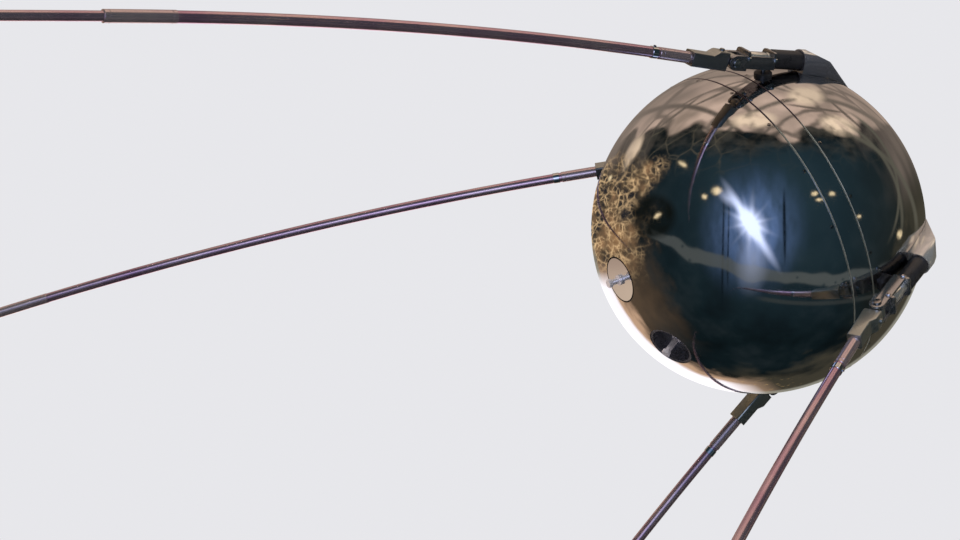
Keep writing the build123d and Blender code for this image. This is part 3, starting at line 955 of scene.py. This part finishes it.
# Gilded lattice on the left, brown shade under it, olive walls with thin arcs on the right
CLUTTER_TONES = [
    (0.40, (0.020, 0.022, 0.028)), (0.49, (0.080, 0.060, 0.040)),
    (0.59, (0.200, 0.125, 0.070)), (0.72, (0.42, 0.24, 0.12)),
]
# Place, radius and width of each arc
WALL_ARCS = ((0.20, 0.05, 0.64, 0.012), (0.33, -0.02, 0.60, 0.016), (0.24, 0.18, 0.58, 0.010))

strands = math(tree, "MAXIMUM", falling(cells(13.0, bent_disc), 0.008, 0.046),
               falling(cells(29.0, bent_disc), 0.012, 0.085, 0.8))
clutter = tint(tree, noise(tree, bent_disc, 13.0, 5.0, (1.0, 0.6, 1.0)), CLUTTER_TONES)
glint = both(spot(-0.83, -0.05, 0.13, 1.0, 75, 1.5), spread(tree, rough, -0.03, 0.03, 0.3, 0.8))
clutter = mixed(glint, clutter, (0.56, 0.31, 0.14))
strands = both(strands, rising(noise(tree, disc, 17.0, 4.0), 0.40, 0.54))
clutter = mixed(strands, clutter, (1.05, 0.72, 0.38))
shade = both(falling(scaled(v, 0.5, plus(u, rough)), -0.90, -0.62), rising(v, -0.75, -0.50),
             falling(v, 0.05, 0.30))
painted = mixed(shade, painted, (0.105, 0.072, 0.046))
gold = both(falling(plus(u, rough), -0.80, -0.60), rising(rugged_v, -0.34, -0.16),
            falling(rugged_v, 0.30, 0.46))
gold = math(tree, "MAXIMUM", gold, spot(-0.67, 0.29, 0.21, 0.5, 38, 2.2))
painted = mixed(gold, painted, clutter)
dark_round = both(spot(-0.60, 0.07, 0.15, 0.3), spread(tree, rough, -0.04, 0.04, 0.6, 1))
painted = mixed(dark_round, painted, (0.006, 0.008, 0.007))
low_right = rising(math(tree, "SUBTRACT", u, v), 0.55, 0.85)
low_right = both(low_right, rising(plus(out_from, rough), 0.80, 0.90))
painted = mixed(low_right, painted, (0.060, 0.054, 0.038))
for ring in WALL_ARCS:
    arc_mask = both(halo(*ring), rising(u, 0.45, 0.60, 0.8), rising(v, -0.10, 0.05))
    painted = mixed(arc_mask, painted, (0.13, 0.125, 0.095))

# Low rims: peach at the left, specks of gold below, a fine pale line
low_left = both(falling(plus(u, v), -1.08, -0.80), falling(v, -0.34, -0.18))
peach = both(low_left, rising(scaled(rough, 0.5, out_from), 0.865, 0.905))
painted = mixed(peach, painted, (0.66, 0.43, 0.28))
specks = both(falling(cells(24.0, unit, "F1"), 0.10, 0.22), falling(v, -0.90, -0.86),
              falling(u, 0.10, 0.30))
painted = mixed(specks, painted, (0.62, 0.42, 0.18))
fine_rim = both(rising(out_from, 0.972, 0.982), rising(v, -0.05, -0.25, 0.8))
painted = mixed(fine_rim, painted, (0.34, 0.33, 0.27))

# Lamps, the pale lid's own view, a flash with its rays and a white rim at the lower left
# Place, radius, direction and slimness of each lamp
LAMPS = (
    (-0.23, 0.218, 0.030, 12, 1.3), (-0.30, 0.185, 0.016, 0, 1.0), (0.33, 0.20, 0.020, 0, 1.5),
    (0.43, 0.20, 0.018, 0, 1.4), (0.36, 0.165, 0.022, 4, 2.6), (0.825, -0.035, 0.026, 78, 1.7),
    (0.585, 0.07, 0.014, 0, 1.6), (-0.575, 0.075, 0.026, 35, 2.2), (-0.43, 0.375, 0.030, -35, 2.4),
    (-0.87, 0.30, 0.020, 60, 2.0),
)
LAMP_GLOW = 1.4
LID_TONES = [(0.35, (0.50, 0.37, 0.29)), (0.60, (0.86, 0.70, 0.52))]
# Place, reach, direction, slimness, strength and fall of each ray
RAYS = (
    (-0.036, 0.024, 0.35, -58, 8.5, 1.9, 1.9), (-0.035, 0.030, 0.24, 86, 8.0, 0.8, 2.2),
    (-0.035, 0.030, 0.18, 12, 9.0, 0.5, 2.2), (-0.035, 0.030, 0.20, -26, 8.0, 0.7, 2.0),
    (-0.035, 0.030, 0.20, -74, 10.0, 0.7, 1.8), (-0.035, 0.030, 0.20, 50, 12.0, 0.3, 1.8),
    (-0.02, -0.17, 0.22, 84, 2.0, 0.22, 1.2), (-0.16, 0.17, 0.10, -40, 2.2, 0.45, 1.4),
)

flicker = spread(tree, noise(tree, unit, 46.0, 3.0), 0.38, 0.58, 0.4, 3.4)
for at_u, at_v, radius, turn, slim in LAMPS:
    mask = both(spot(at_u, at_v, radius * LAMP_GLOW, 1.0, turn, slim, 1.7), flicker)
    painted = mixed(math(tree, "MINIMUM", mask, 1.0), painted, (1.15, 0.92, 0.55))
lid_view = tint(tree, noise(tree, unit, 9.0, 2.0), LID_TONES)
painted = mixed(spot(-0.836, -0.338, 0.075, 0.5), painted, lid_view)
strength = math(tree, "MULTIPLY", spot(-0.035, 0.030, 0.13, 1.0, -50, 1.3, 1.7), 1.6)
for at_u, at_v, reach, turn, slim, power, fall in RAYS:
    strength = scaled(spot(at_u, at_v, reach, 1.0, turn, slim, fall), power, strength)
painted = mixed(math(tree, "MINIMUM", strength, 1.0), painted, (1.15, 1.32, 1.85))
pale_rim = both(falling(plus(u, v), -1.10, -0.92), falling(v, -0.36, -0.26),
                rising(scaled(rough, 0.12, out_from), 0.918, 0.934))
painted = mixed(pale_rim, painted, (1.30, 1.24, 1.30))
tree.links.new(painted, glow.inputs["Color"])
tree.links.new(glow.outputs[0], output.inputs["Surface"])

form = bmesh.new()
bmesh.ops.create_icosphere(form, subdivisions=5, radius=ROOM)
for point in form.verts:
    point.co.z = max(point.co.z, FLOOR + 0.005)
room_mesh = bpy.data.meshes.new("hall")
form.to_mesh(room_mesh)
form.free()
room = bpy.data.objects.new("hall", room_mesh)
room.data.materials.append(room_material)
bpy.context.scene.collection.objects.link(room)
room.visible_camera = False
room.visible_diffuse = False
room.visible_shadow = False
room.visible_transmission = False

world = bpy.data.worlds.new("studio")
bpy.context.scene.world = world
world.use_nodes = True
tree = world.node_tree
background = tree.nodes["Background"]
background.inputs["Color"].default_value = (*PALE, 1)
path = node(tree, "ShaderNodeLightPath")
shown = math(tree, "MAXIMUM", path.outputs["Is Camera Ray"], path.outputs["Is Glossy Ray"])
shown = math(tree, "MAXIMUM", shown, path.outputs["Is Transmission Ray"])
tree.links.new(spread(tree, shown, 0, 1, 0.55, 1.0), background.inputs["Strength"])


def softbox(name, place, aim, size, power, colour):
    """A soft lamp that metal doesn't mirror."""
    light = bpy.data.lights.new(name, "AREA")
    light.shape, light.size, light.size_y = "RECTANGLE", size[0], size[1]
    light.energy, light.color = power, colour
    made = bpy.data.objects.new(name, light)
    made.visible_glossy = False
    bpy.context.scene.collection.objects.link(made)
    made.location = place
    made.rotation_mode = "QUATERNION"
    made.rotation_quaternion = (Vector(aim) - Vector(place)).to_track_quat("-Z", "Y")
    return made


KEY_WATTS, FILL_WATTS = 170, 50
key_place = level * 3.2 + left_hand * 2.6 + Vector((0, 0, 3.4))
fill_place = level * 2.5 - left_hand * 3.4 + Vector((0, 0, 1.2))
softbox("key", key_place, (-0.3, 0, 0), (1.6, 1.6), KEY_WATTS, (1.0, 0.95, 0.9))
softbox("fill", fill_place, (0, 0, 0), (1.2, 2.4), FILL_WATTS, (0.9, 0.95, 1.0))

bpy.context.scene.view_settings.view_transform = "Standard"
